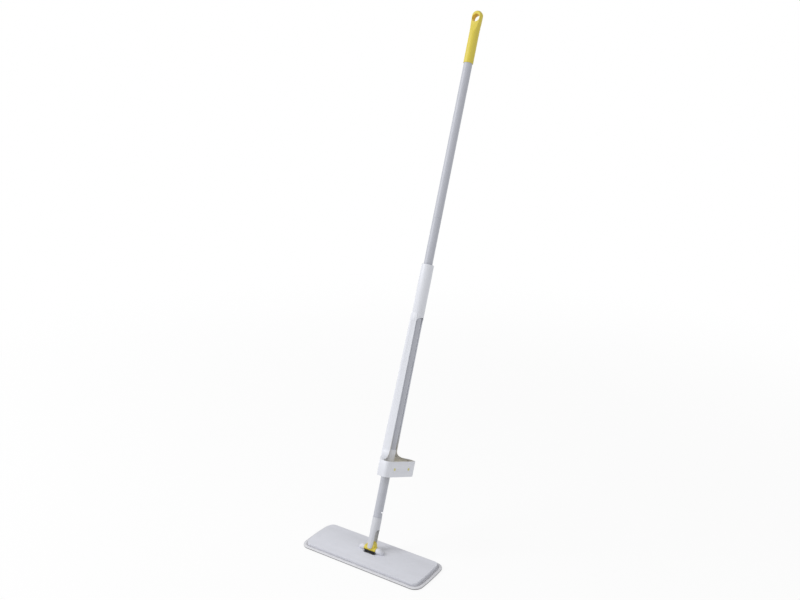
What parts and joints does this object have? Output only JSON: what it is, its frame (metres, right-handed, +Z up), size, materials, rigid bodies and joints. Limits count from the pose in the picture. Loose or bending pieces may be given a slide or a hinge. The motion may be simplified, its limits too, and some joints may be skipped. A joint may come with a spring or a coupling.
{
  "type": "self-wringing flat mop",
  "caption": "Flat floor mop with a soft oblong pad on a swivelling plate, a jointed tube pole with a hanging grip, and a sliding wringer box on the pole.",
  "frame": {"origin": "centre of the pad's underside, on the floor", "axes": "+X along the head towards the side the wringer box is on, +Y across the head towards the side the pole leans to, +Z up from the floor"},
  "size_m": [0.355, 0.5495, 1.2929],
  "materials": {
    "yellow_plastic": "moulded satin yellow",
    "white_plastic": "moulded satin white",
    "grey_plastic": "moulded fine grain light grey",
    "plate_plastic": "moulded fine grain light grey",
    "black_plastic": "moulded black",
    "black_rubber": "soft matt black",
    "grey_rubber": "soft matt light grey",
    "pole_coating": "satin grey stoved coating",
    "bright_steel": "bright zinc plated",
    "pad_pile": "short microfibre pile",
    "pad_cloth": "woven cloth with a sewn edge",
    "hook_tape": "moulded hook tape"
  },
  "bodies": {
    "pole": {"swivel_fork": "grey_plastic", "fold_pin": "bright_steel", "fork_rivet": "bright_steel", "lower_tube": "pole_coating", "middle_tube": "pole_coating", "upper_tube": "pole_coating", "lower_joint_stud": "grey_plastic", "lower_joint_socket": "grey_plastic", "upper_joint_stud": "grey_plastic", "upper_joint_socket": "grey_plastic", "grip": "yellow_plastic"},
    "wringer": {"slider_sleeve": "white_plastic", "wringer_body": "white_plastic", "upper_bush": "grey_plastic", "middle_bush": "grey_plastic", "lower_bush": "grey_plastic", "friction_ring": "black_rubber", "scraper_rail": "yellow_plastic", "scraper_blade": "black_rubber", "scraper_pegs": "yellow_plastic"},
    "knuckle": {"knuckle": "yellow_plastic", "axle_keeper": "black_plastic", "keeper_screws": "bright_steel"},
    "head": {"top_plate": "plate_plastic", "base_plate": "plate_plastic", "plate_screws": "bright_steel", "hook_tapes": "hook_tape", "joint_buffer": "grey_rubber", "head_axle": "bright_steel", "pad_backing": "pad_cloth", "pad_pile": "pad_pile", "pad_binding": "pad_cloth"}
  },
  "joints": [
    {"name": "wringer_slide", "type": "slide", "parent": "pole", "child": "wringer", "axis": [0, 0.3535, 0.9354], "range_m": [0, 0.509]},
    {"name": "head_fold", "type": "hinge", "parent": "pole", "child": "knuckle", "pos_m": [0, 0.00283, 0.02948], "axis": [0, 0.9354, -0.3535], "range_deg": [-90, 90]},
    {"name": "head_lean", "type": "hinge", "parent": "knuckle", "child": "head", "pos_m": [0, 0, 0.022], "axis": [1, 0, 0], "range_deg": [-65.7, 24.3]}
  ]
}
